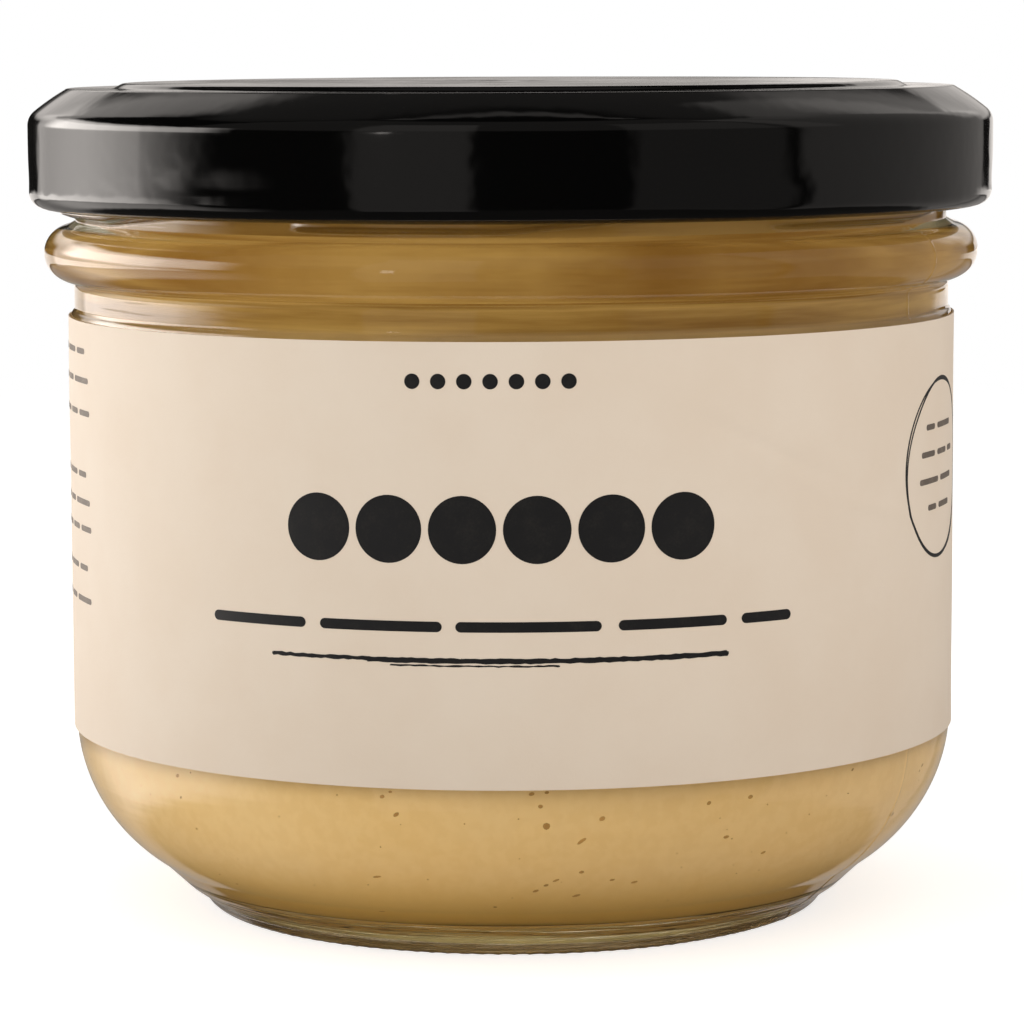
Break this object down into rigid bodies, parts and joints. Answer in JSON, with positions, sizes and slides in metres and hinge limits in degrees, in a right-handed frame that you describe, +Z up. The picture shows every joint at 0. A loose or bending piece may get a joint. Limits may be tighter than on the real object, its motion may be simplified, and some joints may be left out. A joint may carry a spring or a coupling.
{
  "type": "jar of hummus",
  "caption": "Squat clear glass jar filled with hummus, shut by a black twist-off metal lid, with a plain paper label wrapped round its straight wall and a bowl-shaped foot.",
  "frame": {"origin": "centre of the jar's resting ring, on the surface it stands on", "axes": "+Z up along the jar's axis; -Y is the front of the label, and the label's lap is at +Y"},
  "size_m": [0.0846, 0.0846, 0.0726],
  "materials": {
    "glass": "clear pressed flint glass, faintly grey-green, with slight mould waviness",
    "lacquer": "gloss black lacquer on thin drawn sheet steel",
    "hummus": "moist, coarse-ground chickpea paste, golden tan, with small air pockets and darker specks",
    "paper": "uncoated cream label paper with plain dark print shapes"
  },
  "bodies": {
    "root": {"glass_jar": "glass", "lid": "lacquer", "hummus": "hummus", "paper_label": "paper"}
  },
  "joints": []
}
